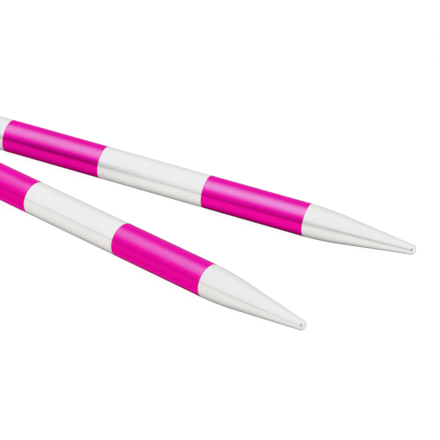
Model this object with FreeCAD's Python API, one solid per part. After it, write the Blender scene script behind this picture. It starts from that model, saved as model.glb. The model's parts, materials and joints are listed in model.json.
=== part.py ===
"""Circular knitting needle: two hollow aluminium needles with swivel joins for a cord.

Millimetres, +Z up.  The pair lies on a surface at Z = 0 with the points towards +X.
The two needle axes meet behind the needles, where the loop of the cord would run, and
needle a lies on the +Y side.  The origin is the centre of the bounding box's base.
"""
import FreeCAD, Part
import math
import os

from FreeCAD import Placement, Rotation, Vector

# --- needle: a swaged and anodised aluminium tube -------------------------------------
NEEDLE_DIAMETER = 6.0
POINT_LENGTH = 20.2        # bare point, up to the first coloured band
SHOULDER_TANGENT = 3.0     # half-length of the arc that blends the cone into the barrel
NOSE_RADIUS = 0.8          # where the cone would meet the end of the needle
NOSE_LENGTH = 0.6          # the blunt end, rounded into the cone
MAGENTA_BAND = 19.5        # one coloured band and one bright band make 40 mm
BRIGHT_BAND = 20.5
BAND_PAIRS = 2
BAND_RELIEF = 0.02         # the bright bands are turned through the coloured skin
NECK_LENGTH = 7.0          # swaged taper behind the last band
NECK_WALL = 0.36           # tube wall at its rear mouth
POINT_PLUG = 2.0           # solid metal left between the point's cone and the hollow

# --- swivel join: bushing, flanged ferrule and retaining ring --------------------------
CORD_DIAMETER = 2.0        # the cord that the ferrule is made to hold
CORD_CLEARANCE = 0.02      # radial, before the ferrule is crimped
FERRULE_WALL = 0.28
SWIVEL_CLEARANCE = 0.04    # radial running clearance of the ferrule in the bushing
END_PLAY = 0.05            # axial clearance on each side of the ferrule's flange
FLANGE_STEP = 0.3
FLANGE_THICKNESS = 1.0
BUSHING_WALL = 0.4
BUSHING_SLEEVE = 5.0       # the part that is pressed into the tube
BUSHING_NOSE = 5.0         # the taper that shows behind the tube
NOSE_LIP = 0.26            # wall at the small end of that taper
BEARING_LENGTH = 6.0       # plain bore that the ferrule turns in
RING_THICKNESS = 0.8
RING_WALL = 0.4
FERRULE_REACH = 6.0        # how far the ferrule stands out behind the bushing
CRIMP_COUNT = 2
CRIMP_WIDTH = 0.9
CRIMP_DEPTH = 0.08
CRIMP_PITCH = 1.9
LIP_ROUNDING = 0.12

# --- how the pair lies ------------------------------------------------------------------
SPREAD_ANGLE = 16.0        # between the two axes
TIP_DISTANCE = 136.0       # from the crossing of the axes to each tip

# --- worked out from the values above ---------------------------------------------------
NEEDLE_RADIUS = NEEDLE_DIAMETER / 2
BRIGHT_RADIUS = NEEDLE_RADIUS - BAND_RELIEF
CONE_ANGLE = math.atan((BRIGHT_RADIUS - NOSE_RADIUS) / (POINT_LENGTH - SHOULDER_TANGENT))
QUARTER_ELLIPSE = 0.5523   # handle length that makes a cubic curve follow a quarter-ellipse
BARREL_END = POINT_LENGTH + BAND_PAIRS * (MAGENTA_BAND + BRIGHT_BAND)
TUBE_END = BARREL_END + NECK_LENGTH
BUSHING_END = TUBE_END + BUSHING_NOSE
FERRULE_END = BUSHING_END + FERRULE_REACH

CORD_BORE = CORD_DIAMETER / 2 + CORD_CLEARANCE
SHANK_RADIUS = CORD_BORE + FERRULE_WALL
BEARING_BORE = SHANK_RADIUS + SWIVEL_CLEARANCE
FLANGE_RADIUS = SHANK_RADIUS + FLANGE_STEP
POCKET_RADIUS = FLANGE_RADIUS + SWIVEL_CLEARANCE
SLEEVE_RADIUS = POCKET_RADIUS + BUSHING_WALL
MOUTH_RADIUS = SLEEVE_RADIUS + NECK_WALL
POCKET_FLOOR = BUSHING_END - BEARING_LENGTH
FLANGE_REAR = POCKET_FLOOR - END_PLAY
FLANGE_FRONT = FLANGE_REAR - FLANGE_THICKNESS
RING_REAR = FLANGE_FRONT - END_PLAY
RING_FRONT = RING_REAR - RING_THICKNESS


def at(behind_tip, radius):
    """A profile point: a distance behind the tip, and a radius from the needle's axis."""
    return Vector(-behind_tip, 0, radius)


def polyline(*points):
    return [Part.makeLine(a, b) for a, b in zip(points, points[1:])]


def turned(edges):
    """The solid that a closed profile sweeps round the needle's axis."""
    face = Part.Face(Part.Wire(edges))
    return face.revolve(Vector(0, 0, 0), Vector(1, 0, 0), 360)


def tube(front, rear, inner, outer):
    """A plain ring between two distances behind the tip."""
    corners = [at(front, inner), at(front, outer), at(rear, outer), at(rear, inner)]
    return turned(polyline(*corners, corners[0]))


def rim(solid, behind_tip, radius):
    """The circular edges of a solid at one distance behind the tip and one radius."""
    found = []
    for edge in solid.Edges:
        if edge.Degenerated or not isinstance(edge.Curve, Part.Circle):
            continue
        on_station = abs(edge.Curve.Center.x + behind_tip) < 1e-4
        if on_station and abs(edge.Curve.Radius - radius) < 1e-4:
            found.append(edge)
    return found


def on_cone(behind_tip):
    """The point of the cone's straight side at a distance behind the tip."""
    return at(behind_tip, NOSE_RADIUS + behind_tip * math.tan(CONE_ANGLE))


def nose_curve():
    """The blunt end: it leaves the axis squarely and runs smoothly into the cone."""
    end = on_cone(NOSE_LENGTH)
    curve = Part.BezierCurve()
    curve.setPoles([at(0, 0), at(0, end.z * QUARTER_ELLIPSE),
                    on_cone(NOSE_LENGTH * (1 - QUARTER_ELLIPSE)), end])
    return curve.toShape()


def shoulder_arc(cone_end, barrel_start):
    """The arc, tangent to the cone and to the barrel, that ends at the first band."""
    radius = SHOULDER_TANGENT / math.tan(CONE_ANGLE / 2)
    half_turn = CONE_ANGLE / 2
    middle = at(POINT_LENGTH - radius * math.sin(half_turn),
                BRIGHT_RADIUS - radius * (1 - math.cos(half_turn)))
    return Part.Arc(cone_end, middle, barrel_start).toShape()


def neck_arc():
    """The swaged neck: an arc tangent to the barrel that ends at the tube's mouth."""
    drop = BRIGHT_RADIUS - MOUTH_RADIUS
    radius = (NECK_LENGTH ** 2 + drop ** 2) / (2 * drop)
    half_turn = math.asin(NECK_LENGTH / radius) / 2
    middle = at(BARREL_END + radius * math.sin(half_turn),
                BRIGHT_RADIUS - radius * (1 - math.cos(half_turn)))
    return Part.Arc(at(BARREL_END, BRIGHT_RADIUS), middle, at(TUBE_END, MOUTH_RADIUS)).toShape()


def barrel_points():
    """The straight barrel, where each coloured band stands proud of the bright metal."""
    points = [at(POINT_LENGTH, BRIGHT_RADIUS)]
    station = POINT_LENGTH
    for _ in range(BAND_PAIRS):
        points.append(at(station, NEEDLE_RADIUS))
        points.append(at(station + MAGENTA_BAND, NEEDLE_RADIUS))
        points.append(at(station + MAGENTA_BAND, BRIGHT_RADIUS))
        station += MAGENTA_BAND + BRIGHT_BAND
    points.append(at(BARREL_END, BRIGHT_RADIUS))
    return points


def make_needle_shaft():
    """Solid swaged point, banded barrel and necked mouth, with one bore from the rear."""
    cone_span = SHOULDER_TANGENT * (1 + math.cos(CONE_ANGLE))
    cone_end = at(POINT_LENGTH - cone_span, BRIGHT_RADIUS - SHOULDER_TANGENT * math.sin(CONE_ANGLE))
    barrel = barrel_points()
    hollow_start = POINT_LENGTH + POINT_PLUG
    drill_cone = SLEEVE_RADIUS / math.tan(math.radians(59))
    inside = [at(TUBE_END, MOUTH_RADIUS), at(TUBE_END, SLEEVE_RADIUS),
              at(hollow_start + drill_cone, SLEEVE_RADIUS), at(hollow_start, 0), at(0, 0)]
    edges = [nose_curve(), Part.makeLine(on_cone(NOSE_LENGTH), cone_end),
             shoulder_arc(cone_end, barrel[0])]
    edges += polyline(*barrel)
    edges.append(neck_arc())
    edges += polyline(*inside)
    return turned(edges)


def make_join_bushing():
    """Sleeve pressed into the tube, a shoulder on the tube's mouth and a tapered nose."""
    lip_radius = BEARING_BORE + NOSE_LIP
    sleeve_front = TUBE_END - BUSHING_SLEEVE
    profile = [at(sleeve_front, POCKET_RADIUS), at(sleeve_front, SLEEVE_RADIUS),
               at(TUBE_END, SLEEVE_RADIUS), at(TUBE_END, MOUTH_RADIUS),
               at(BUSHING_END, lip_radius), at(BUSHING_END, BEARING_BORE),
               at(POCKET_FLOOR, BEARING_BORE), at(POCKET_FLOOR, POCKET_RADIUS)]
    bushing = turned(polyline(*profile, profile[0]))
    return bushing.makeFillet(LIP_ROUNDING, rim(bushing, BUSHING_END, lip_radius))


def make_swivel_ferrule():
    """Flange inside the bushing, a shank that turns in it and a crimped cord socket."""
    profile = [at(FLANGE_FRONT, CORD_BORE), at(FLANGE_FRONT, FLANGE_RADIUS),
               at(FLANGE_REAR, FLANGE_RADIUS), at(FLANGE_REAR, SHANK_RADIUS),
               at(FERRULE_END, SHANK_RADIUS), at(FERRULE_END, CORD_BORE)]
    ferrule = turned(polyline(*profile, profile[0]))
    ferrule = ferrule.makeFillet(LIP_ROUNDING, rim(ferrule, FERRULE_END, SHANK_RADIUS))
    last_crimp = FERRULE_END - FERRULE_REACH / 2 + CRIMP_PITCH * (CRIMP_COUNT - 1) / 2
    for index in range(CRIMP_COUNT):
        middle = last_crimp - index * CRIMP_PITCH
        groove_floor = SHANK_RADIUS - CRIMP_DEPTH
        groove = tube(middle - CRIMP_WIDTH / 2, middle + CRIMP_WIDTH / 2,
                      groove_floor, SHANK_RADIUS + FERRULE_WALL)
        ferrule = ferrule.cut(groove)
    return ferrule


def make_retaining_ring():
    """Ring pressed into the bushing's pocket, which keeps the ferrule's flange in."""
    return tube(RING_FRONT, RING_REAR, POCKET_RADIUS - RING_WALL, POCKET_RADIUS)


def lay_down(shape, side):
    """Puts a needle's piece in place: side is +1 for needle a and -1 for needle b."""
    half = math.radians(SPREAD_ANGLE / 2)
    rear_edge = (TIP_DISTANCE - FERRULE_END) * math.cos(half) - SHANK_RADIUS * math.sin(half)
    front_edge = TIP_DISTANCE * math.cos(half)
    crossing_x = -(rear_edge + front_edge) / 2
    tip = Vector(crossing_x + TIP_DISTANCE * math.cos(half),
                 side * TIP_DISTANCE * math.sin(half),
                 NEEDLE_RADIUS)
    turn = Rotation(Vector(0, 0, 1), side * SPREAD_ANGLE / 2)
    placed = shape.copy()
    placed.Placement = Placement(tip, turn).multiply(placed.Placement)
    return placed


def main():
    os.makedirs("parts", exist_ok=True)
    pieces = {
        "needle_shaft": make_needle_shaft(),
        "join_bushing": make_join_bushing(),
        "swivel_ferrule": make_swivel_ferrule(),
        "retaining_ring": make_retaining_ring(),
    }
    for name, shape in pieces.items():
        for letter, side in (("a", 1), ("b", -1)):
            lay_down(shape, side).exportStep(f"parts/{name}_{letter}.step")


main()
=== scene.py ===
"""Looks for a pair of circular knitting needles: turned and anodised metal, in a white studio.

Blender 4.5.  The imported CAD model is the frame: every piece here is built in its own place,
in metres, and rides on the CAD body that carries it.
"""
import json
import math

import bmesh
import bpy
from bpy.props import FloatProperty, FloatVectorProperty, IntProperty, PointerProperty
from bpy.types import Operator, Panel, PropertyGroup
from mathutils import Matrix, Quaternion, Vector
from mathutils.geometry import interpolate_bezier


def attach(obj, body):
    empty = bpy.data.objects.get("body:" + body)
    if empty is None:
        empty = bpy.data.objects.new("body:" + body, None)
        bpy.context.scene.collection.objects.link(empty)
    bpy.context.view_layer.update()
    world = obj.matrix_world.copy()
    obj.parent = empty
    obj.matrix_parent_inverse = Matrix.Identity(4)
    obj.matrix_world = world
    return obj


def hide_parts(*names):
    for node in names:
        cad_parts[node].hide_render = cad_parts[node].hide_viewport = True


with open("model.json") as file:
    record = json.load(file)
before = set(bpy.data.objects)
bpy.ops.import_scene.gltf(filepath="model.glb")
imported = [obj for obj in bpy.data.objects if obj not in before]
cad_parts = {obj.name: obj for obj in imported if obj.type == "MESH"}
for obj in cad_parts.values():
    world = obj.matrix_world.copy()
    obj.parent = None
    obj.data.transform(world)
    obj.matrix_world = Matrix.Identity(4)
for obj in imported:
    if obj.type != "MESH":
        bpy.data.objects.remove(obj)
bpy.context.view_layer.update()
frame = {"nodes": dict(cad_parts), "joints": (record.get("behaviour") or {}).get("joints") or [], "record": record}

bl_info = {
    "name": "Circular knitting needles",
    "version": (1, 0, 0),
    "blender": (4, 5, 0),
    "location": "3D View > Sidebar > Needles",
    "description": "Builds the finished needles, their swivel joins and a white studio",
    "category": "Object",
}

MM = 0.001
SIDES = ("a", "b")


# --- what the frame says about the needles ----------------------------------------------

def mount(name):
    """The named mount of the part's record."""
    return next(m for m in frame["record"]["mounts"] if m["name"] == name)


def joint(name):
    """The named joint of the frame."""
    return next(j for j in frame["joints"] if j["name"] == name)


class NeedleFrame:
    """One needle's place: its tip, the way it points and the matrix from needle to row frame.

    In needle coordinates +X points out of the tip, and the tip is at the origin.
    """

    def __init__(self, side):
        self.side = side
        self.body = "needle_" + side
        swivel = joint("swivel_" + side)
        self.axis = Vector(swivel["axis"]).normalized()
        on_axis = Vector(swivel["pos_m"])
        shaft = frame["nodes"]["needle_shaft_" + side].data
        reach = max((v.co - on_axis).dot(self.axis) for v in shaft.vertices)
        self.tip = on_axis + self.axis * reach
        turn = Vector((1, 0, 0)).rotation_difference(self.axis)
        self.matrix = Matrix.Translation(self.tip) @ turn.to_matrix().to_4x4()

    def behind_tip(self, point):
        """How far a point of the row frame lies behind the tip, along the needle."""
        return (self.tip - Vector(point)).dot(self.axis)


NEEDLES = {side: NeedleFrame(side) for side in SIDES}
FIRST_BAND = mount("point_barrel_a")
CORD_SOCKET = mount("cord_socket_a")
BARREL_RADIUS = FIRST_BAND["dims"]["r_mm"] * MM
COLOUR_BAND = FIRST_BAND["dims"]["length_mm"] * MM
POINT_LENGTH = NEEDLES["a"].behind_tip(FIRST_BAND["pos_m"]) - COLOUR_BAND / 2
CORD_BORE = CORD_SOCKET["dims"]["r_mm"] * MM


# --- settings ---------------------------------------------------------------------------

class NeedleSizes(PropertyGroup):
    """Sizes that the frame does not state, in metres."""
    nose_radius: FloatProperty(
        name="Nose radius", default=0.8 * MM, unit="LENGTH",
        description="Radius at which the point's cone would meet the end of the needle")
    nose_length: FloatProperty(
        name="Nose length", default=0.6 * MM, unit="LENGTH",
        description="Length of the blunt end, which is rounded into the cone")
    shoulder_tangent: FloatProperty(
        name="Shoulder", default=3.0 * MM, unit="LENGTH",
        description="Half-length of the arc that blends the cone into the barrel")
    bright_band: FloatProperty(
        name="Bright band", default=20.5 * MM, unit="LENGTH",
        description="Length of each bare band between two coloured ones")
    band_pairs: IntProperty(
        name="Band pairs", default=2, min=1,
        description="Coloured bands along each barrel, each followed by a bright one")
    band_relief: FloatProperty(
        name="Band relief", default=0.02 * MM, unit="LENGTH",
        description="How far the bright metal lies below the coloured skin")
    neck_length: FloatProperty(
        name="Neck", default=7.0 * MM, unit="LENGTH",
        description="Length of the swaged taper behind the last band")
    neck_wall: FloatProperty(
        name="Neck wall", default=0.36 * MM, unit="LENGTH",
        description="Wall of the tube at its rear mouth")
    bushing_nose: FloatProperty(
        name="Bushing nose", default=5.0 * MM, unit="LENGTH",
        description="Length of the bushing's taper behind the tube")
    nose_lip: FloatProperty(
        name="Nose lip", default=0.26 * MM, unit="LENGTH",
        description="Wall at the small end of the bushing's taper")
    running_clearance: FloatProperty(
        name="Running clearance", default=0.04 * MM, unit="LENGTH",
        description="Radial gap between the ferrule and the bushing")
    end_play: FloatProperty(
        name="End play", default=0.05 * MM, unit="LENGTH",
        description="Gap on each side of the ferrule's flange")
    flange_thickness: FloatProperty(
        name="Flange thickness", default=1.0 * MM, unit="LENGTH",
        description="Length of the flange that holds the ferrule in")
    ferrule_wall: FloatProperty(
        name="Ferrule wall", default=0.28 * MM, unit="LENGTH",
        description="Wall of the tube that holds the cord")
    crimp_pitch: FloatProperty(
        name="Crimp pitch", default=1.9 * MM, unit="LENGTH",
        description="Distance between the two rolled grooves that grip the cord")
    crimp_width: FloatProperty(
        name="Crimp width", default=0.9 * MM, unit="LENGTH",
        description="Width of each rolled groove")
    crimp_depth: FloatProperty(
        name="Crimp depth", default=0.08 * MM, unit="LENGTH",
        description="Depth of each rolled groove")
    ring_wall: FloatProperty(
        name="Ring wall", default=0.4 * MM, unit="LENGTH",
        description="Radial thickness of the retaining ring")
    facets: IntProperty(
        name="Facets", default=128, min=24,
        description="Steps that each turned piece has round its axis")


class FinishColours(PropertyGroup):
    """Colours of the finishes, scene linear."""
    magenta: FloatVectorProperty(
        name="Magenta", subtype="COLOR", size=3, default=(0.96, 0.003, 0.405),
        min=0, max=1, description="Dyed anodic skin of the coloured bands")
    bright: FloatVectorProperty(
        name="Bright metal", subtype="COLOR", size=3, default=(0.905, 0.905, 0.905),
        min=0, max=1, description="Bare turned aluminium")
    nickel: FloatVectorProperty(
        name="Nickel", subtype="COLOR", size=3, default=(0.76, 0.73, 0.68),
        min=0, max=1, description="Plating on the join bushings")
    steel: FloatVectorProperty(
        name="Steel", subtype="COLOR", size=3, default=(0.62, 0.62, 0.63),
        min=0, max=1, description="Drawn tube of the swivel ferrules")
    brass: FloatVectorProperty(
        name="Brass", subtype="COLOR", size=3, default=(0.78, 0.57, 0.25),
        min=0, max=1, description="Retaining rings inside the joins")


class StudioSettings(PropertyGroup):
    """The camera's place and the light."""
    aim: FloatVectorProperty(
        name="Aim", subtype="TRANSLATION", size=3, default=(0.02719, 0.00506, 0.003),
        description="Point that the camera looks at")
    azimuth: FloatProperty(
        name="Azimuth", default=math.radians(29.57), subtype="ANGLE",
        description="Turn of the camera round the needles, from straight in front")
    elevation: FloatProperty(
        name="Elevation", default=math.radians(25.23), subtype="ANGLE",
        description="Height of the camera above the surface, as an angle")
    roll: FloatProperty(
        name="Roll", default=math.radians(6.44), subtype="ANGLE",
        description="Anticlockwise lean of the camera about its own line of sight")
    distance: FloatProperty(
        name="Distance", default=0.43345, unit="LENGTH",
        description="From the camera to the point it looks at")
    focal_length: FloatProperty(
        name="Focal length", default=204.0,
        description="Lens in millimetres on a 36 mm sensor")
    fill: FloatProperty(
        name="Fill", default=0.75, min=0,
        description="Strength of the even light from all round")


# --- turned pieces ----------------------------------------------------------------------

BEHIND_TIP = "behind_tip"        # vertex attribute: distance behind the tip, in metres
SEAM_GAP = 1e-7
RANK_STEP = 100000               # more than any piece has vertices
SHARP_ANGLE = math.radians(32)


class Corner:
    """A corner of a turned outline: place behind the tip, radius, and how far it is rounded."""

    def __init__(self, behind_tip, radius, rounding=0.0, segments=4):
        self.behind_tip = behind_tip
        self.radius = radius
        self.rounding = rounding
        self.segments = segments


def held_corners(corners, closed, reach=0.1 * MM):
    """The outline with a plain corner near both ends of each long run.

    The extra corners keep the shading of the run flat beside rounded edges.
    """
    held = []
    following = corners[1:] + (corners[:1] if closed else [])
    for first, second in zip(corners, following):
        held.append(first)
        along = second.behind_tip - first.behind_tip
        out = second.radius - first.radius
        length = math.hypot(along, out)
        if length > first.rounding + second.rounding + 4 * reach:
            for distance in (first.rounding + reach, length - second.rounding - reach):
                share = distance / length
                held.append(Corner(first.behind_tip + along * share, first.radius + out * share))
    return held if closed else held + corners[-1:]


def outline_mesh(corners, closed):
    """The outline as a wire, with each corner rounded by the bevel operator."""
    corners = held_corners(corners, closed)
    bm = bmesh.new()
    verts = [bm.verts.new((-c.behind_tip, 0, c.radius)) for c in corners]
    for first, second in zip(verts, verts[1:]):
        bm.edges.new((first, second))
    if closed:
        bm.edges.new((verts[-1], verts[0]))
    for vert, corner in zip(verts, corners):
        if corner.rounding:
            bmesh.ops.bevel(bm, geom=[vert], offset=corner.rounding, segments=corner.segments,
                            profile=0.5, affect="VERTICES", material=-1)
    return bm


def face_rank(face):
    """A number that puts the faces of a piece in the same order in each run."""
    first, second, *_, last = sorted(vert.index for vert in face.verts)
    return (first * RANK_STEP + last) * RANK_STEP + second


def turned_piece(name, needle, corners, closed, materials, facets, finish_of=None):
    """Spin an outline round a needle's axis and set the piece in its place."""
    bm = outline_mesh(corners, closed)
    bmesh.ops.spin(bm, geom=bm.verts[:] + bm.edges[:], cent=(0, 0, 0), axis=(1, 0, 0),
                   angle=math.tau, steps=facets, use_merge=True, use_duplicate=False)
    bmesh.ops.remove_doubles(bm, verts=bm.verts, dist=SEAM_GAP)
    bmesh.ops.recalc_face_normals(bm, faces=bm.faces)
    bm.verts.index_update()
    bm.faces.sort(key=face_rank)
    along = bm.verts.layers.float.new(BEHIND_TIP)
    for vert in bm.verts:
        vert[along] = -vert.co.x
    for face in bm.faces:
        face.smooth = True
        if finish_of:
            centre = face.calc_center_median()
            face.material_index = finish_of(-centre.x, math.hypot(centre.y, centre.z))
    bmesh.ops.transform(bm, matrix=needle.matrix, verts=bm.verts)
    mesh = bpy.data.meshes.new(name)
    bm.to_mesh(mesh)
    bm.free()
    mesh.set_sharp_from_angle(angle=SHARP_ANGLE)
    for material in materials:
        mesh.materials.append(material)
    piece = bpy.data.objects.new(name, mesh)
    bpy.context.scene.collection.objects.link(piece)
    return piece


# --- shared effects, as node groups -----------------------------------------------------

def new_group(name, inputs, outputs):
    """A node group of float sockets, with its input and output nodes."""
    group = bpy.data.node_groups.new(name, "ShaderNodeTree")
    for socket_name, value in inputs.items():
        socket = group.interface.new_socket(socket_name, in_out="INPUT",
                                            socket_type="NodeSocketFloat")
        socket.default_value = value
    for socket_name in outputs:
        group.interface.new_socket(socket_name, in_out="OUTPUT", socket_type="NodeSocketFloat")
    return group, group.nodes.new("NodeGroupInput"), group.nodes.new("NodeGroupOutput")


def plug(tree, value, socket):
    """Feed a socket from another socket, a number or a colour."""
    if isinstance(value, bpy.types.NodeSocket):
        tree.links.new(value, socket)
    elif isinstance(socket, bpy.types.NodeSocketColor):
        socket.default_value = (*value, 1.0)
    else:
        socket.default_value = value


def math_node(tree, operation, *operands):
    """A Math node; each operand is a socket or a number."""
    node = tree.nodes.new("ShaderNodeMath")
    node.operation = operation
    for socket, value in zip(node.inputs, operands):
        plug(tree, value, socket)
    return node.outputs[0]


def mix_colour(tree, factor, first, second):
    """The first colour at 0 and the second at 1; each is a socket or a colour."""
    node = tree.nodes.new("ShaderNodeMix")
    node.data_type = "RGBA"
    for socket, value in ((node.inputs[0], factor), (node.inputs[6], first),
                          (node.inputs[7], second)):
        plug(tree, value, socket)
    return node.outputs[2]


def noise(group, coordinates, scale, detail, dimensions="3D"):
    """The value of a noise texture on coordinates or on one number."""
    node = group.nodes.new("ShaderNodeTexNoise")
    node.noise_dimensions = dimensions
    node.inputs["Detail"].default_value = detail
    plug(group, scale, node.inputs["Scale"])
    plug(group, coordinates, node.inputs["W" if dimensions == "1D" else "Vector"])
    return node.outputs["Fac"]


def object_place(group):
    """The place of a point in its object, which is its place in the row frame at rest."""
    return group.nodes.new("ShaderNodeTexCoord").outputs["Object"]


def station(group):
    """How far a point lies behind the needle's tip."""
    along = group.nodes.new("ShaderNodeAttribute")
    along.attribute_name = BEHIND_TIP
    return along.outputs["Fac"]


def fine_grain_group():
    """Isotropic grain and soft clouding, as on blasted or handled metal."""
    group, entry, result = new_group("fine_grain", {"Grain Scale": 9000.0, "Cloud Scale": 220.0},
                                     ("Grain", "Cloud"))
    place = object_place(group)
    for effect, detail in (("Grain", 3.0), ("Cloud", 4.0)):
        value = noise(group, place, entry.outputs[effect + " Scale"], detail)
        group.links.new(value, result.inputs[effect])
    return group


def turning_marks_group():
    """Rings left by turning or drawing a piece about its axis."""
    group, entry, result = new_group(
        "turning_marks", {"Fine Scale": 16000.0, "Broad Scale": 900.0}, ("Marks",))
    along = station(group)
    fine = noise(group, along, entry.outputs["Fine Scale"], 2.0, "1D")
    broad = noise(group, along, entry.outputs["Broad Scale"], 2.0, "1D")
    mixed = math_node(group, "ADD", math_node(group, "MULTIPLY", fine, 0.65),
                      math_node(group, "MULTIPLY", broad, 0.35))
    group.links.new(mixed, result.inputs["Marks"])
    return group


def specks_group():
    """Sparse small pits and dust, 1 on a speck and 0 elsewhere, on the side that lies down."""
    group, entry, result = new_group(
        "specks", {"Scale": 3500.0, "Amount": 0.7, "Height": 0.0027}, ("Mask",))
    place = object_place(group)
    split = group.nodes.new("ShaderNodeSeparateXYZ")
    group.links.new(place, split.inputs[0])
    low = math_node(group, "LESS_THAN", split.outputs["Z"], entry.outputs["Height"])
    dots = noise(group, place, entry.outputs["Scale"], 1.0)
    mask = math_node(group, "GREATER_THAN", dots, entry.outputs["Amount"])
    group.links.new(math_node(group, "MULTIPLY", mask, low), result.inputs["Mask"])
    return group


def band_ends_group():
    """1 at the two ends of each coloured band, fading to 0 over a fraction of a millimetre."""
    group, entry, result = new_group(
        "band_ends", {"Start": 0.0, "Band": 1.0, "Pitch": 2.0, "Reach": 0.1}, ("Mask",))
    past_start = math_node(group, "SUBTRACT", station(group), entry.outputs["Start"])
    in_pitch = math_node(group, "MODULO", past_start, entry.outputs["Pitch"])
    to_far_end = math_node(group, "SUBTRACT", entry.outputs["Band"], in_pitch)
    nearer = math_node(group, "MINIMUM", in_pitch, to_far_end)
    share = math_node(group, "DIVIDE", nearer, entry.outputs["Reach"])
    inside = math_node(group, "SUBTRACT", 1.0, share)
    group.links.new(math_node(group, "MAXIMUM", inside, 0.0), result.inputs["Mask"])
    return group


def point_zone_group():
    """1 on the tapered point and 0 behind it."""
    group, entry, result = new_group("point_zone", {"Length": 0.02}, ("Mask",))
    mask = math_node(group, "LESS_THAN", station(group), entry.outputs["Length"])
    group.links.new(mask, result.inputs["Mask"])
    return group


EFFECTS = {"fine_grain": fine_grain_group, "turning_marks": turning_marks_group,
           "specks": specks_group, "band_ends": band_ends_group, "point_zone": point_zone_group}


class Finish:
    """A metal material under construction.

    Its plain colour and roughness serve viewers that skip the effects.
    """

    NOISE_RANGE = (0.3, 0.7)     # where nearly all values of a noise texture lie

    def __init__(self, name, colour, roughness):
        self.material = bpy.data.materials.new(name)
        self.material.use_nodes = True
        self.tree = self.material.node_tree
        self.shader = self.tree.nodes["Principled BSDF"]
        self.shader.inputs["Metallic"].default_value = 1.0
        self.shader.inputs["Base Color"].default_value = (*colour, 1.0)
        self.shader.inputs["Roughness"].default_value = roughness

    def effect(self, name, **values):
        """The outputs of a shared effect, which is built the first time it is asked for."""
        node = self.tree.nodes.new("ShaderNodeGroup")
        node.node_tree = bpy.data.node_groups.get(name) or EFFECTS[name]()
        for key, value in values.items():
            node.inputs[key.replace("_", " ").title()].default_value = value
        return node.outputs

    def spread(self, value, low, high):
        """A noise value mapped to low to high."""
        node = self.tree.nodes.new("ShaderNodeMapRange")
        node.inputs["From Min"].default_value = self.NOISE_RANGE[0]
        node.inputs["From Max"].default_value = self.NOISE_RANGE[1]
        node.inputs["To Min"].default_value = low
        node.inputs["To Max"].default_value = high
        self.tree.links.new(value, node.inputs["Value"])
        return node.outputs["Result"]

    def clouded(self, grain, colour, shade):
        """A colour that turns darker in soft clouds."""
        return mix_colour(self.tree, self.spread(grain["Cloud"], 0.0, 1.0),
                          darker(colour, shade), tuple(colour))

    def feed(self, value, socket):
        """Link a value to a socket of the shader."""
        self.tree.links.new(value, self.shader.inputs[socket])

    def bump(self, height, distance):
        """Dent the surface by a height, over a distance in metres."""
        node = self.tree.nodes.new("ShaderNodeBump")
        node.inputs["Distance"].default_value = distance
        self.tree.links.new(height, node.inputs["Height"])
        self.feed(node.outputs["Normal"], "Normal")


def darker(colour, share):
    """A colour times a number."""
    return tuple(c * share for c in colour)


def anodised_magenta(colours, bright_band):
    """Dyed oxide over fine-blasted aluminium, under its own clear skin."""
    finish = Finish("anodised_magenta", colours.magenta, 0.2)
    grain = finish.effect("fine_grain", grain_scale=7000.0, cloud_scale=180.0)
    marks = finish.effect("turning_marks", fine_scale=9000.0, broad_scale=500.0)
    ends = finish.effect("band_ends", start=POINT_LENGTH, band=COLOUR_BAND,
                         pitch=COLOUR_BAND + bright_band, reach=0.16 * MM)
    skin = mix_colour(finish.tree, ends["Mask"], finish.clouded(grain, colours.magenta, 0.95),
                      darker(colours.magenta, 0.78))
    finish.feed(skin, "Base Color")
    finish.feed(finish.spread(grain["Grain"], 0.08, 0.14), "Roughness")
    finish.feed(finish.spread(grain["Grain"], 0.7, 1.0), "Coat Weight")
    finish.shader.inputs["Specular Tint"].default_value = (1.0, 0.35, 0.75, 1.0)
    finish.shader.inputs["Coat Roughness"].default_value = 0.0
    finish.shader.inputs["Coat IOR"].default_value = 1.5
    finish.bump(marks["Marks"], 0.0000008)
    return finish.material


def turned_aluminium(colours):
    """Bare bright aluminium, a little darker on the point as painted shade, with faint marks and a few specks."""
    finish = Finish("bright_turned_aluminium", colours.bright, 0.16)
    grain = finish.effect("fine_grain", grain_scale=5000.0, cloud_scale=260.0)
    marks = finish.effect("turning_marks")
    specks = finish.effect("specks")
    point = finish.effect("point_zone", length=POINT_LENGTH)
    metal = finish.clouded(grain, colours.bright, 0.975)
    # painted shade: the base colour on the tapered point is darkened so that its cone reflects less light
    metal = mix_colour(finish.tree, math_node(finish.tree, "MULTIPLY", point["Mask"], 0.3),
                       metal, darker(colours.bright, 0.87))
    metal = mix_colour(finish.tree, specks["Mask"], metal, darker(colours.bright, 0.6))
    finish.feed(metal, "Base Color")
    finish.shader.inputs["Metallic"].default_value = 0.62
    finish.feed(finish.spread(marks["Marks"], 0.05, 0.09), "Roughness")
    waves = math_node(finish.tree, "MULTIPLY", grain["Cloud"], 6.0)
    finish.bump(math_node(finish.tree, "ADD", marks["Marks"], waves), 0.0000003)
    return finish.material


def plated_nickel(colours):
    """Nickel plate over turned brass."""
    finish = Finish("nickel_plate", colours.nickel, 0.14)
    grain = finish.effect("fine_grain", grain_scale=6000.0, cloud_scale=500.0)
    marks = finish.effect("turning_marks", fine_scale=20000.0, broad_scale=1800.0)
    finish.feed(finish.clouded(grain, colours.nickel, 0.93), "Base Color")
    finish.feed(finish.spread(marks["Marks"], 0.1, 0.2), "Roughness")
    finish.bump(marks["Marks"], 0.000001)
    return finish.material


def drawn_steel(colours):
    """Drawn steel tube, duller than the plate."""
    finish = Finish("drawn_steel", colours.steel, 0.24)
    grain = finish.effect("fine_grain", grain_scale=9000.0, cloud_scale=700.0)
    marks = finish.effect("turning_marks", fine_scale=26000.0, broad_scale=2600.0)
    finish.feed(finish.clouded(grain, colours.steel, 0.88), "Base Color")
    finish.feed(finish.spread(marks["Marks"], 0.18, 0.32), "Roughness")
    finish.bump(marks["Marks"], 0.0000012)
    return finish.material


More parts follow.
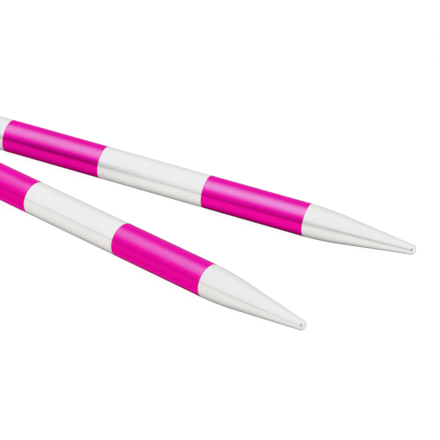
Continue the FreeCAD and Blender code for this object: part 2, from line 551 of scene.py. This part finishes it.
def turned_brass(colours):
    """Plain brass with soft grain."""
    finish = Finish("turned_brass", colours.brass, 0.25)
    grain = finish.effect("fine_grain", grain_scale=9000.0, cloud_scale=900.0)
    finish.feed(finish.clouded(grain, colours.brass, 0.85), "Base Color")
    finish.feed(finish.spread(grain["Grain"], 0.2, 0.34), "Roughness")
    return finish.material


# --- the needle's outlines --------------------------------------------------------------

ELLIPSE_PULL = 0.5523            # handle length that makes a Bezier curve a quarter-ellipse
EDGE_SHARE = 0.45                # rounding of a coloured band's edge, per height of the edge
HOLLOW_START = POINT_LENGTH + 2 * MM    # the shaft is solid from its tip to here
HOLLOW_CONE = 0.6                # length of the hollow's blind end, per radius of the hollow


class JoinSizes:
    """Stations behind the tip and radii of the swivel join, from the CAD nodes of needle a."""

    def __init__(self, sizes):
        needle = NEEDLES["a"]
        self.flange_front, self.ferrule_end, self.flange = self.span("swivel_ferrule_a", needle)
        self.sleeve_front, self.bushing_end, self.mouth = self.span("join_bushing_a", needle)
        self.ring_front, self.ring_rear, self.pocket = self.span("retaining_ring_a", needle)
        self.sleeve = self.mouth - sizes.neck_wall
        self.shank = CORD_BORE + sizes.ferrule_wall
        self.bearing = self.shank + sizes.running_clearance
        self.tube_end = self.bushing_end - sizes.bushing_nose
        self.flange_rear = self.flange_front + sizes.flange_thickness
        self.pocket_floor = self.flange_rear + sizes.end_play

    @staticmethod
    def span(node, needle):
        """(front, rear, largest radius) of a turned node, in needle coordinates."""
        back = needle.matrix.inverted()
        local = [back @ vert.co for vert in frame["nodes"][node].data.vertices]
        stations = [-point.x for point in local]
        return min(stations), max(stations), max(math.hypot(p.y, p.z) for p in local)


def nose_corners(sizes, slope, steps=14):
    """The blunt end, close to a quarter-ellipse, from the axis to the cone."""
    def on_cone(behind_tip):
        return Vector((behind_tip, sizes.nose_radius + behind_tip * slope, 0))

    end = on_cone(sizes.nose_length)
    curve = interpolate_bezier(Vector((0, 0, 0)), Vector((0, end.y * ELLIPSE_PULL, 0)),
                               on_cone(sizes.nose_length * (1 - ELLIPSE_PULL)), end, steps)
    return [Corner(point.x, point.y) for point in curve]


def shaft_corners(sizes, sleeve_radius):
    """The shaft's outline: point, banded barrel, neck, mouth and hollow, from axis to axis."""
    bright = BARREL_RADIUS - sizes.band_relief
    cone_length = POINT_LENGTH - sizes.shoulder_tangent
    slope = (bright - sizes.nose_radius) / cone_length
    corners = [
        *nose_corners(sizes, slope),
        Corner(cone_length, bright, sizes.shoulder_tangent, 16),
    ]
    place = POINT_LENGTH
    edge = sizes.band_relief * EDGE_SHARE
    for _ in range(sizes.band_pairs):
        band_end = place + COLOUR_BAND
        corners += [
            Corner(place, bright),
            Corner(place + edge, BARREL_RADIUS, edge, 2),
            Corner(band_end - edge, BARREL_RADIUS, edge, 2),
            Corner(band_end, bright),
        ]
        place = band_end + sizes.bright_band
    mouth_radius = sleeve_radius + sizes.neck_wall
    drop = bright - mouth_radius
    neck_turn = 2 * math.atan(drop / sizes.neck_length)
    neck_tangent = drop / math.sin(neck_turn)
    tube_end = place + sizes.neck_length
    corners += [
        Corner(place + neck_tangent, bright, neck_tangent * 0.98, 12),
        Corner(tube_end, mouth_radius, 0.03 * MM, 2),
        Corner(tube_end, sleeve_radius),
        Corner(HOLLOW_START + sleeve_radius * HOLLOW_CONE, sleeve_radius),
        Corner(HOLLOW_START, 0),
    ]
    return corners


def colour_zone(sizes):
    """Tell which finish a face of the shaft takes: 1 in a coloured band and 0 elsewhere."""
    pitch = COLOUR_BAND + sizes.bright_band
    above_bright = BARREL_RADIUS - sizes.band_relief * 0.6

    def finish_of(behind_tip, radius):
        past_point = behind_tip - POINT_LENGTH
        in_bands = 0 < past_point < sizes.band_pairs * pitch
        return int(radius > above_bright and in_bands and past_point % pitch < COLOUR_BAND)

    return finish_of


def build_shafts():
    """The two banded shafts, one on each needle's body."""
    scene = bpy.context.scene
    sizes = scene.needle_sizes
    join = JoinSizes(sizes)
    materials = [turned_aluminium(scene.needle_colours),
                 anodised_magenta(scene.needle_colours, sizes.bright_band)]
    for needle in NEEDLES.values():
        name = "banded_shaft_" + needle.side
        piece = turned_piece(name, needle, shaft_corners(sizes, join.sleeve), False,
                             materials, sizes.facets, colour_zone(sizes))
        piece.visible_glossy = False      # neither needle shows in the other's metal
        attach(piece, needle.body)
        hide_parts("needle_shaft_" + needle.side)


def bushing_corners(sizes, join):
    """Sleeve inside the tube, shoulder on its mouth, tapered nose, bearing bore and pocket."""
    return [
        Corner(join.sleeve_front, join.pocket, 0.06 * MM, 2),
        Corner(join.sleeve_front, join.sleeve, 0.12 * MM, 3),
        Corner(join.tube_end, join.sleeve),
        Corner(join.tube_end, join.mouth, 0.04 * MM, 3),
        Corner(join.bushing_end, join.bearing + sizes.nose_lip, 0.12 * MM, 6),
        Corner(join.bushing_end, join.bearing, 0.05 * MM, 3),
        Corner(join.pocket_floor, join.bearing, 0.04 * MM, 2),
        Corner(join.pocket_floor, join.pocket),
    ]


def ferrule_corners(sizes, join):
    """Flange, shank, the rolled grooves that grip the cord and the lip of the cord's socket."""
    corners = [
        Corner(join.flange_front, CORD_BORE, 0.06 * MM, 3),
        Corner(join.flange_front, join.flange, 0.08 * MM, 4),
        Corner(join.flange_rear, join.flange, 0.08 * MM, 4),
        Corner(join.flange_rear, join.shank),
    ]
    middle = (join.bushing_end + join.ferrule_end) / 2
    half = sizes.crimp_width / 2
    floor = half * 0.4
    for groove in (middle - sizes.crimp_pitch / 2, middle + sizes.crimp_pitch / 2):
        for offset, depth in ((-half, 0), (-floor, sizes.crimp_depth),
                              (floor, sizes.crimp_depth), (half, 0)):
            corners.append(Corner(groove + offset, join.shank - depth, 0.1 * MM, 4))
    corners += [
        Corner(join.ferrule_end, join.shank, 0.12 * MM, 6),
        Corner(join.ferrule_end, CORD_BORE, 0.07 * MM, 4),
    ]
    return corners


def ring_corners(sizes, join):
    """Retaining ring with broken edges."""
    hole = join.pocket - sizes.ring_wall
    places = ((join.ring_front, hole), (join.ring_front, join.pocket),
              (join.ring_rear, join.pocket), (join.ring_rear, hole))
    return [Corner(station, radius, 0.06 * MM, 3) for station, radius in places]


def build_join_pieces(stem, corners_of, material, body_stem):
    """One turned piece of the join on each needle, in place of the CAD node of that name."""
    sizes = bpy.context.scene.needle_sizes
    join = JoinSizes(sizes)
    for needle in NEEDLES.values():
        piece = turned_piece("finished_" + stem + "_" + needle.side, needle,
                             corners_of(sizes, join), True, [material], sizes.facets)
        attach(piece, body_stem + "_" + needle.side)
        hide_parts(stem + "_" + needle.side)


def build_bushings():
    """The tapered bushing of each join."""
    material = plated_nickel(bpy.context.scene.needle_colours)
    build_join_pieces("join_bushing", bushing_corners, material, "needle")


def build_ferrules():
    """The ferrule of each join, which turns on its own body."""
    material = drawn_steel(bpy.context.scene.needle_colours)
    build_join_pieces("swivel_ferrule", ferrule_corners, material, "ferrule")


def build_rings():
    """The ring that keeps each ferrule in."""
    material = turned_brass(bpy.context.scene.needle_colours)
    build_join_pieces("retaining_ring", ring_corners, material, "needle")


# --- studio -----------------------------------------------------------------------------

SENSOR_WIDTH = 36.0              # millimetres
NEAREST_SEEN = 10 * MM
BLACK = (0.0, 0.0, 0.0)
WHITE = (1.0, 1.0, 1.0)
DOORWAY = (0.05, 0.045, 0.035)
SOFTBOX_STRENGTH = 9.6
HAZE_STRENGTH = 4.0
FLOOR_SIZE = 6.0


def place_camera(studio):
    """The scene's camera, which looks at the aim from its azimuth and elevation."""
    data = bpy.data.cameras.new("camera")
    data.lens = studio.focal_length
    data.sensor_width = SENSOR_WIDTH
    data.clip_start = NEAREST_SEEN
    camera = bpy.data.objects.new("camera", data)
    bpy.context.scene.collection.objects.link(camera)
    level = math.cos(studio.elevation)
    back = Vector((math.sin(studio.azimuth) * level, -math.cos(studio.azimuth) * level,
                   math.sin(studio.elevation)))
    camera.location = Vector(studio.aim) + back * studio.distance
    upright = (-back).to_track_quat("-Z", "Y")
    camera.rotation_mode = "QUATERNION"
    camera.rotation_quaternion = upright @ Quaternion((0, 0, 1), studio.roll)
    bpy.context.scene.camera = camera


def ramp(tree, value, stops):
    """A colour ramp with (position, colour) stops."""
    node = tree.nodes.new("ShaderNodeValToRGB")
    while len(node.color_ramp.elements) < len(stops):
        node.color_ramp.elements.new(0.5)
    for element, (position, colour) in zip(node.color_ramp.elements, stops):
        element.position = position
        element.color = (*colour, 1.0)
    tree.links.new(value, node.inputs["Fac"])
    return node.outputs["Color"]


def grey(level):
    """The grey of one level."""
    return (level, level, level)


def angle_ramp(tree, angle, stops):
    """A colour ramp over the angle, with (degrees, colour or level) stops from -180 to 180."""
    share = math_node(tree, "ADD", math_node(tree, "DIVIDE", angle, math.tau), 0.5)
    return ramp(tree, share, [
        ((degrees + 180) / 360, colour if isinstance(colour, tuple) else grey(colour))
        for degrees, colour in stops])


def across_room(tree, x, levels):
    """A value that follows (place, level) stops from one side of the room, -1, to the other, 1."""
    share = math_node(tree, "MULTIPLY_ADD", x, 0.5, 0.5)
    return ramp(tree, share, [((place + 1) / 2, grey(level)) for place, level in levels])


def sideways(tree, x, start, end, highest=1.0):
    """0 at one place across the room, and the highest value at another."""
    node = tree.nodes.new("ShaderNodeMapRange")
    node.inputs["From Min"].default_value = start
    node.inputs["From Max"].default_value = end
    node.inputs["To Max"].default_value = highest
    tree.links.new(x, node.inputs["Value"])
    return node.outputs["Result"]


def scaled(tree, colour, factor):
    """A colour times a number."""
    node = tree.nodes.new("ShaderNodeVectorMath")
    node.operation = "SCALE"
    tree.links.new(colour, node.inputs[0])
    tree.links.new(factor, node.inputs["Scale"])
    return node.outputs[0]


def added(tree, first, second):
    """The sum of two colours."""
    node = tree.nodes.new("ShaderNodeVectorMath")
    tree.links.new(first, node.inputs[0])
    tree.links.new(second, node.inputs[1])
    return node.outputs[0]


def softbox(tree, angle):
    """The overhead softbox, as a clear skin over the metal reflects it."""
    tint = (0.04, 0.86, 0.93)
    haze = (0.0, 0.0, 0.15)
    profile = ((27, 0.012), (34, 0.1), (42, 0.33), (54, 0.76), (66, 1.0), (80, 0.96),
               (92, 0.68), (106, 0.21), (116, 0.06))
    lit = [(degrees, tuple(level * c + h for c, h in zip(tint, haze)))
           for degrees, level in profile]
    return angle_ramp(tree, angle, [
        (-180, 0.0), (12, 0.0), (20, (0.0, 0.002, 0.1)), *lit, (126, (0.1, 0.016, 0.2)),
        (138, (0.17, 0.012, 0.2)), (154, (0.2, 0.018, 0.2)), (180, (0.2, 0.02, 0.2))])


def far_softbox(tree, angle):
    """The softbox as the clear skin shows it from the other sides of the room."""
    levels = ((-180, 0.0), (48, 0.0), (62, 1.6), (72, 3.6), (88, 3.6), (98, 1.6), (112, 0.0),
              (180, 0.0))
    haze = (0.55, 0.06, 0.28)
    return angle_ramp(tree, angle, [
        (degrees, (haze[0] + 0.4 * level, haze[1] + level, haze[2] + level))
        for degrees, level in levels])


def wall_haze(tree, angle):
    """Violet light on the needle nearer the wall, from the pale surface below and the wall."""
    return angle_ramp(tree, angle, [
        (-180, (0.1, 0.0, 0.06)), (-140, (0.2, 0.004, 0.1)), (-118, (0.33, 0.007, 0.15)),
        (-92, (0.6, 0.012, 0.27)), (-72, (0.22, 0.004, 0.09)), (-58, 0.0), (24, 0.0),
        (38, (0.05, 0.0, 0.24)), (90, (0.1, 0.0, 0.3)), (120, (0.12, 0.003, 0.2)),
        (150, (0.1, 0.0, 0.06)), (180, (0.1, 0.0, 0.06))])


def room(tree, angle, overhead, below, front):
    """The room round the needles as bare metal reflects it; 0 is the front and 90 is up."""
    back_horizon = (0.7, 0.69, 0.66)
    edge = darker(overhead, 0.99)
    return angle_ramp(tree, angle, [
        (-180, back_horizon), *below, *front, (27, edge), (34, overhead), (105, overhead),
        (112, edge), (118, (0.89, 0.89, 0.855)), (136, (0.83, 0.83, 0.785)),
        (152, (0.76, 0.755, 0.72)), (180, back_horizon)])


def room_behind(tree, angle):
    """The room as the barrel of needle b shows it."""
    return room(tree, angle, (0.913, 0.908, 0.938), below=(
        (-126, (0.2, 0.19, 0.17)), (-104, (0.47, 0.46, 0.43)), (-92, (0.63, 0.62, 0.58)),
        (-75, (0.76, 0.75, 0.7)), (-58, (0.84, 0.83, 0.77)), (-42, (0.88, 0.87, 0.81))
    ), front=(
        (-20, (0.9, 0.88, 0.82)), (-12, (0.87, 0.86, 0.81)), (-5, (0.77, 0.76, 0.72)),
        (1, (0.68, 0.68, 0.65)), (7, (0.75, 0.76, 0.735)), (12, (0.84, 0.85, 0.83)),
        (18, (0.9, 0.91, 0.9))))


def room_beside(tree, angle):
    """The room as the barrel of needle a and the point of needle b show it."""
    return room(tree, angle, (0.93, 0.935, 0.965), below=(
        (-130, (0.05, 0.045, 0.04)), (-112, (0.17, 0.165, 0.155)), (-100, (0.32, 0.31, 0.3)),
        (-92, (0.44, 0.43, 0.41)), (-79, (0.66, 0.65, 0.62)), (-62, (0.84, 0.83, 0.79)),
        (-48, (0.93, 0.92, 0.87))
    ), front=(
        (-26, (0.955, 0.945, 0.895)), (-15, (0.91, 0.9, 0.86)), (-8, (0.74, 0.725, 0.695)),
        (-3, (0.6, 0.585, 0.565)), (2, (0.66, 0.655, 0.635)), (7, (0.83, 0.835, 0.82)),
        (16, (0.85, 0.86, 0.86))))


def room_ahead(tree, angle):
    """The room as the point of needle a shows it."""
    return room(tree, angle, (0.93, 0.935, 0.965), below=(
        (-130, (0.1, 0.095, 0.09)), (-112, (0.3, 0.29, 0.28)), (-100, (0.6, 0.59, 0.57)),
        (-92, (0.7, 0.69, 0.66)), (-79, (0.85, 0.84, 0.8)), (-62, (0.9, 0.89, 0.85)),
        (-48, (0.94, 0.93, 0.88))
    ), front=(
        (-26, (0.96, 0.95, 0.9)), (-15, (0.9, 0.89, 0.85)), (-8, (0.74, 0.72, 0.69)),
        (-2, (0.55, 0.53, 0.51)), (4, (0.47, 0.46, 0.44)), (9, (0.52, 0.52, 0.5)),
        (17, (0.8, 0.805, 0.8)), (23, (0.93, 0.94, 0.95))))


def far_wall(tree, angle):
    """The room toward its far sides: white, with dark lines at the horizon and straight down."""
    return angle_ramp(tree, angle, (
        (-180, 0.68), (-170, 0.84), (-158, 0.97), (-125, 0.94), (-105, 0.84), (-90, 0.68),
        (-75, 0.76), (-50, 0.93), (-20, 0.95), (-6, 0.75), (0, 0.6), (8, 0.75), (20, 0.93),
        (40, 0.98), (140, 0.98), (160, 0.92), (172, 0.78), (180, 0.68)))


def dark_panel(tree, x, angle):
    """How much a dim stretch of the front wall darkens the horizon line."""
    across = across_room(tree, x, (
        (-0.305, 0.0), (-0.29, 0.25), (-0.28, 0.76), (-0.26, 0.78), (-0.247, 0.3), (-0.234, 0.0),
        (-0.2, 0.0), (-0.184, 0.26), (-0.12, 0.26), (-0.05, 0.0)))
    upright = angle_ramp(tree, angle, (
        (-34, 0.0), (-25, 0.1), (-15, 0.45), (-3, 1.0), (6, 0.83), (18, 0.5), (28, 0.0)))
    return math_node(tree, "MULTIPLY", across, upright)


def dim_corners(tree, along, angle):
    """How much two corners of the room, seen along needle a, dim what lies below the horizon."""
    across = across_room(tree, along, (
        (-0.9, 0.0), (-0.84, 0.08), (-0.796, 0.05), (-0.75, 0.0), (-0.48, 0.0), (-0.43, 0.14),
        (-0.387, 0.14), (-0.376, 0.0)))
    upright = angle_ramp(tree, angle, ((-110, 0.0), (-80, 1.0), (-28, 1.0), (-12, 0.0)))
    return math_node(tree, "MULTIPLY", across, upright)


def dark_doorway(tree, x, angle):
    """1 in the one dark patch of the room, in front and beyond the tips, and 0 elsewhere."""
    across = across_room(tree, x, ((0.12, 0.0), (0.16, 1.0), (0.7, 1.0), (0.78, 0.0)))
    upright = angle_ramp(tree, angle, ((-14, 0.0), (-8, 1.0), (58, 1.0), (66, 0.0)))
    return math_node(tree, "MULTIPLY", across, upright)


def metal_light(tree, x, y, angle, walls):
    """All that bare metal reflects; walls is 1 toward the far sides of the room."""
    light = mix_colour(tree, sideways(tree, x, -0.62, -0.26),
                       room_behind(tree, angle), room_beside(tree, angle))
    light = mix_colour(tree, sideways(tree, x, -0.17, 0.05), light, room_ahead(tree, angle))
    axis = NEEDLES["a"].axis
    along = math_node(tree, "ADD", x, math_node(tree, "MULTIPLY", y, axis.y / axis.x))
    dimmed = math_node(tree, "MAXIMUM", dark_panel(tree, x, angle),
                       dim_corners(tree, along, angle))
    light = mix_colour(tree, dimmed, light, BLACK)
    light = mix_colour(tree, walls, light, far_wall(tree, angle))
    return mix_colour(tree, dark_doorway(tree, x, angle), light, DOORWAY)


def skin_light(tree, x, angle, walls):
    """All that the clear skin over the coloured bands reflects."""
    across = across_room(tree, x, (
        (-0.72, 0.07), (-0.66, 0.2), (-0.63, 0.36), (-0.58, 0.46), (-0.4, 0.7), (-0.32, 0.76),
        (-0.285, 0.96), (0.1, 1.0)))
    box = scaled(tree, softbox(tree, angle),
                 math_node(tree, "MULTIPLY", across, SOFTBOX_STRENGTH))
    haze = scaled(tree, wall_haze(tree, angle),
                  sideways(tree, x, -0.46, -0.54, HAZE_STRENGTH))
    return mix_colour(tree, walls, added(tree, box, haze), far_softbox(tree, angle))


def build_sky(studio):
    """White room: even light on everything, and a room and softbox for metal to reflect."""
    world = bpy.data.worlds.new("white_room")
    bpy.context.scene.world = world
    world.use_nodes = True
    tree = world.node_tree
    path = tree.nodes.new("ShaderNodeLightPath")
    split = tree.nodes.new("ShaderNodeSeparateXYZ")
    tree.links.new(tree.nodes.new("ShaderNodeTexCoord").outputs["Generated"], split.inputs[0])
    x, y, z = (split.outputs[axis] for axis in "XYZ")
    angle = math_node(tree, "ARCTAN2", z, math_node(tree, "MULTIPLY", y, -1.0))
    walls = math_node(tree, "MAXIMUM", sideways(tree, x, 0.15, 0.3),
                      sideways(tree, x, -0.75, -0.88))
    reflected = mix_colour(tree, path.outputs["Is Singular Ray"],
                           metal_light(tree, x, y, angle, walls),
                           skin_light(tree, x, angle, walls))
    lit = mix_colour(tree, path.outputs["Is Glossy Ray"], grey(studio.fill), reflected)
    seen = mix_colour(tree, path.outputs["Is Camera Ray"], lit, WHITE)
    tree.links.new(seen, tree.nodes["Background"].inputs["Color"])


def build_floor():
    """Pale surface that keeps the needles' soft shadow and looks white to the camera.

    Metal reflects the room's lower half in its place.
    """
    bm = bmesh.new()
    bmesh.ops.create_grid(bm, x_segments=1, y_segments=1, size=FLOOR_SIZE)
    mesh = bpy.data.meshes.new("floor")
    bm.to_mesh(mesh)
    bm.free()
    material = bpy.data.materials.new("white_surface")
    material.use_nodes = True
    tree = material.node_tree
    shader = tree.nodes["Principled BSDF"]
    shader.inputs["Roughness"].default_value = 0.9
    shader.inputs["Specular IOR Level"].default_value = 0.0
    path = tree.nodes.new("ShaderNodeLightPath")
    direct = math_node(tree, "MAXIMUM", path.outputs["Is Camera Ray"],
                       path.outputs["Is Transmission Ray"])
    for socket, around, seen in (("Base Color", 0.6, 0.08), ("Emission Color", 0.35, 0.945)):
        tree.links.new(mix_colour(tree, direct, grey(around), grey(seen)), shader.inputs[socket])
    shader.inputs["Emission Strength"].default_value = 1.0
    mesh.materials.append(material)
    floor = bpy.data.objects.new("floor", mesh)
    floor.visible_glossy = False
    bpy.context.scene.collection.objects.link(floor)


def build_lamp():
    """One broad lamp overhead, which gives the shadows a side without a second highlight."""
    data = bpy.data.lights.new("overhead", "AREA")
    data.shape = "DISK"
    data.size = 0.5
    data.energy = 1.2
    lamp = bpy.data.objects.new("overhead", data)
    lamp.location = (0.05, -0.15, 0.6)
    lamp.rotation_mode = "QUATERNION"
    lamp.rotation_quaternion = (-Vector(lamp.location)).to_track_quat("-Z", "Y")
    lamp.visible_glossy = False
    bpy.context.scene.collection.objects.link(lamp)


# --- operators --------------------------------------------------------------------------

class NEEDLES_OT_studio(Operator):
    """Set the camera, the white surface and the light"""
    bl_idname = "needles.studio"
    bl_label = "Build Studio"

    def execute(self, context):
        context.scene.view_settings.view_transform = "Standard"
        studio = context.scene.needle_studio
        place_camera(studio)
        build_sky(studio)
        build_floor()
        build_lamp()
        return {"FINISHED"}


class NEEDLES_OT_shafts(Operator):
    """Turn the two banded shafts and give them their finishes"""
    bl_idname = "needles.shafts"
    bl_label = "Build Shafts"

    def execute(self, context):
        build_shafts()
        return {"FINISHED"}


class NEEDLES_OT_bushings(Operator):
    """Build the tapered join bushings behind the shafts"""
    bl_idname = "needles.bushings"
    bl_label = "Build Join Bushings"

    def execute(self, context):
        build_bushings()
        return {"FINISHED"}


class NEEDLES_OT_ferrules(Operator):
    """Build the swivel ferrules that hold the cord"""
    bl_idname = "needles.ferrules"
    bl_label = "Build Swivel Ferrules"

    def execute(self, context):
        build_ferrules()
        return {"FINISHED"}


class NEEDLES_OT_rings(Operator):
    """Build the retaining rings inside the joins"""
    bl_idname = "needles.rings"
    bl_label = "Build Retaining Rings"

    def execute(self, context):
        build_rings()
        return {"FINISHED"}


STEPS = (NEEDLES_OT_studio, NEEDLES_OT_shafts, NEEDLES_OT_bushings, NEEDLES_OT_ferrules,
         NEEDLES_OT_rings)


class NEEDLES_PT_sidebar(Panel):
    """Sizes, colours and build steps of the needles"""
    bl_idname = "NEEDLES_PT_sidebar"
    bl_label = "Knitting Needles"
    bl_space_type = "VIEW_3D"
    bl_region_type = "UI"
    bl_category = "Needles"

    def draw(self, context):
        scene = context.scene
        for group in (scene.needle_sizes, scene.needle_colours, scene.needle_studio):
            box = self.layout.box()
            for name in group.__annotations__:
                box.prop(group, name)
        for step in STEPS:
            self.layout.operator(step.bl_idname)


CLASSES = (NeedleSizes, FinishColours, StudioSettings, *STEPS, NEEDLES_PT_sidebar)


def register():
    for cls in CLASSES:
        bpy.utils.register_class(cls)
    bpy.types.Scene.needle_sizes = PointerProperty(type=NeedleSizes)
    bpy.types.Scene.needle_colours = PointerProperty(type=FinishColours)
    bpy.types.Scene.needle_studio = PointerProperty(type=StudioSettings)


def unregister():
    del bpy.types.Scene.needle_studio
    del bpy.types.Scene.needle_colours
    del bpy.types.Scene.needle_sizes
    for cls in reversed(CLASSES):
        bpy.utils.unregister_class(cls)


def main():
    register()
    bpy.ops.needles.studio()
    bpy.ops.needles.shafts()
    bpy.ops.needles.bushings()
    bpy.ops.needles.ferrules()
    bpy.ops.needles.rings()


if __name__ == "__main__":
    main()
